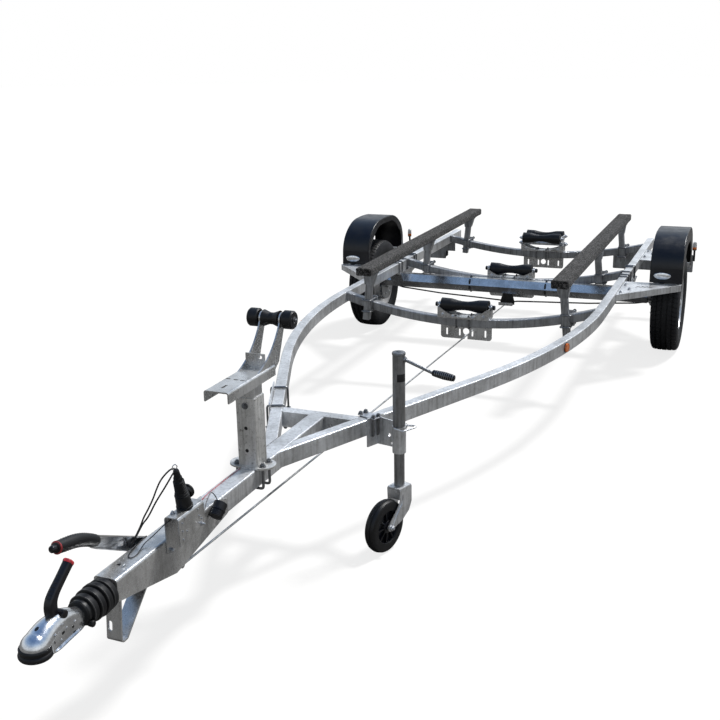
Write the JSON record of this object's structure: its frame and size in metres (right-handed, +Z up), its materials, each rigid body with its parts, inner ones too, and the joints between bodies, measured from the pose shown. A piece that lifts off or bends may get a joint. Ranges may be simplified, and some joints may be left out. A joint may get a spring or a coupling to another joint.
{
  "type": "boat trailer",
  "caption": "Single-axle braked boat trailer with curved tube frame, keel rollers, carpeted bunks, winch post, jockey wheel and mudguards.",
  "frame": {"origin": "on the ground, under the middle of the length and the width of the parked trailer", "axes": "+X to the left side of the trailer, +Y to its rear (the coupling is at -Y), +Z up"},
  "size_m": [2.264, 6.2352, 0.984],
  "materials": {
    "zinc": "dull hot-dip galvanized, lightly spangled",
    "tyre": "matt",
    "rim": "satin silver",
    "black_plastic": "matt",
    "rubber": "matt",
    "carpet": "needle felt",
    "cast": "zinc plated casting",
    "lamp_red": "clear lens",
    "amber": "clear lens",
    "cable": "satin"
  },
  "bodies": {
    "chassis": {"axle_arms": "zinc", "axle_beam": "zinc", "bellows": "rubber", "brake_cables": "cable", "brake_rod": "zinc", "bunk_left": "carpet", "bunk_posts": "zinc", "bunk_right": "carpet", "coupling_handle": "black_plastic", "coupling_head": "cast", "coupling_housing": "cast", "cross_tube": "zinc", "crossmember_front": "zinc", "crossmember_middle": "zinc", "crossmember_rear": "zinc", "drawbar": "zinc", "handbrake_grip": "black_plastic", "handbrake_lever": "zinc", "jockey_clamp": "zinc", "keel_bracket_front": "zinc", "keel_bracket_middle": "zinc", "keel_bracket_rear": "zinc", "lamp_plates": "zinc", "mudguard_brackets": "zinc", "mudguard_left": "black_plastic", "mudguard_right": "black_plastic", "plug_bracket": "zinc", "rail_clamps": "zinc", "rail_left": "zinc", "rail_plate": "zinc", "rail_right": "zinc", "side_markers": "amber", "socket_cap": "black_plastic", "soft_dock_ring": "rubber", "support_leg": "zinc", "tail_lamps": "lamp_red", "trailer_plug": "black_plastic", "winch_post": "zinc", "winch_stand": "zinc"},
    "wheel_left": {"tyre_left": "tyre", "rim_left": "rim"},
    "wheel_right": {"tyre_right": "tyre", "rim_right": "rim"},
    "jockey_outer": {"jockey_tube": "zinc"},
    "jockey_inner": {"jockey_leg": "zinc"},
    "jockey_castor": {"jockey_fork": "zinc"},
    "jockey_roller": {"jockey_wheel": "rubber"},
    "front_keel_roller": {"keel_roller_front": "rubber"},
    "middle_keel_roller": {"keel_roller_middle": "rubber"},
    "rear_rocker": {"keel_rocker": "zinc"},
    "rocker_roller_front": {"keel_roller_rear_front": "rubber"},
    "rocker_roller_back": {"keel_roller_rear_back": "rubber"},
    "bow_stop_roller": {"bow_roller": "rubber"}
  },
  "joints": [
    {"name": "wheel_left_spin", "type": "hinge", "parent": "chassis", "child": "wheel_left", "pos_m": [1.034, 1.88473, 0.3135], "axis": [1, 0, 0], "continuous": true},
    {"name": "wheel_right_spin", "type": "hinge", "parent": "chassis", "child": "wheel_right", "pos_m": [-1.034, 1.88473, 0.3135], "axis": [1, 0, 0], "continuous": true},
    {"name": "jockey_clamp_slide", "type": "slide", "parent": "chassis", "child": "jockey_outer", "axis": [0, -0.0138, 0.9999], "range_m": [-0.18, 0]},
    {"name": "jockey_wind", "type": "slide", "parent": "jockey_outer", "child": "jockey_inner", "axis": [0, -0.0138, 0.9999], "range_m": [-0.16, 0.12]},
    {"name": "jockey_swivel", "type": "hinge", "parent": "jockey_inner", "child": "jockey_castor", "pos_m": [0.356, -1.41458, 0.24047], "axis": [0, -0.0138, 0.9999], "continuous": true},
    {"name": "jockey_wheel_spin", "type": "hinge", "parent": "jockey_castor", "child": "jockey_roller", "pos_m": [0.32844, -1.50884, 0.105], "axis": [0.9613, -0.2756, -0.0038], "continuous": true},
    {"name": "front_keel_roller_spin", "type": "hinge", "parent": "chassis", "child": "front_keel_roller", "pos_m": [0, 0.69246, 0.46956], "axis": [1, 0, 0], "continuous": true},
    {"name": "middle_keel_roller_spin", "type": "hinge", "parent": "chassis", "child": "middle_keel_roller", "pos_m": [0, 1.80836, 0.48496], "axis": [1, 0, 0], "continuous": true},
    {"name": "rear_rocker_tilt", "type": "hinge", "parent": "chassis", "child": "rear_rocker", "pos_m": [0, 2.83419, 0.50412], "axis": [1, 0, 0], "range_deg": [-15, 15]},
    {"name": "rocker_roller_front_spin", "type": "hinge", "parent": "rear_rocker", "child": "rocker_roller_front", "pos_m": [0, 2.76551, 0.55318], "axis": [1, 0, 0], "continuous": true},
    {"name": "rocker_roller_back_spin", "type": "hinge", "parent": "rear_rocker", "child": "rocker_roller_back", "pos_m": [0, 2.90149, 0.55505], "axis": [1, 0, 0], "continuous": true},
    {"name": "bow_roller_spin", "type": "hinge", "parent": "chassis", "child": "bow_stop_roller", "pos_m": [0, -1.74641, 0.95096], "axis": [1, 0, 0], "continuous": true}
  ]
}
